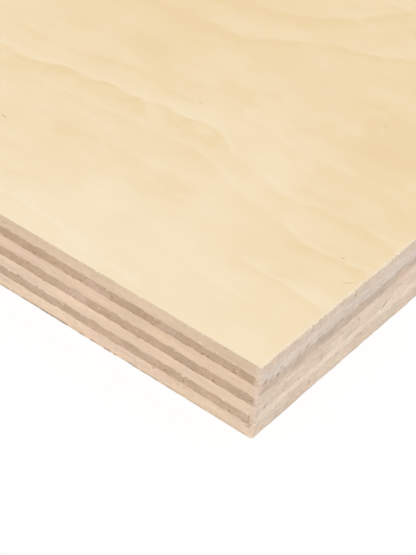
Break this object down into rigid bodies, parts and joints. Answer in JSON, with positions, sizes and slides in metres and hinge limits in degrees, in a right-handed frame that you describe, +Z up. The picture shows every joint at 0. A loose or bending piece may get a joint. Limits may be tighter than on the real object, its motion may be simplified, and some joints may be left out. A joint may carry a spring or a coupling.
{
  "type": "plywood sheet",
  "caption": "Flat rectangular sheet of cross-laminated wood veneers with a pale sanded face and square-cut edges that show the plies; stock for panels, shelves and decking.",
  "frame": {"origin": "centre of the back face, which lies on the floor", "axes": "+X along the face grain and the sheet's length, +Y across its width, +Z up out of the face"},
  "size_m": [1.22, 0.61, 0.018],
  "materials": {
    "face_veneer": "fine sanded, unsealed, pale with a soft rotary-cut figure",
    "inner_veneer": "sawn edge, light along the grain",
    "crossband_veneer": "sawn edge, darker end grain",
    "back_veneer": "sanded, unsealed, a little rougher than the face"
  },
  "bodies": {
    "root": {"face_ply": "face_veneer", "upper_crossband": "crossband_veneer", "upper_inner_ply": "inner_veneer", "centre_crossband": "crossband_veneer", "lower_inner_ply": "inner_veneer", "lower_crossband": "crossband_veneer", "back_ply": "back_veneer"}
  },
  "joints": []
}
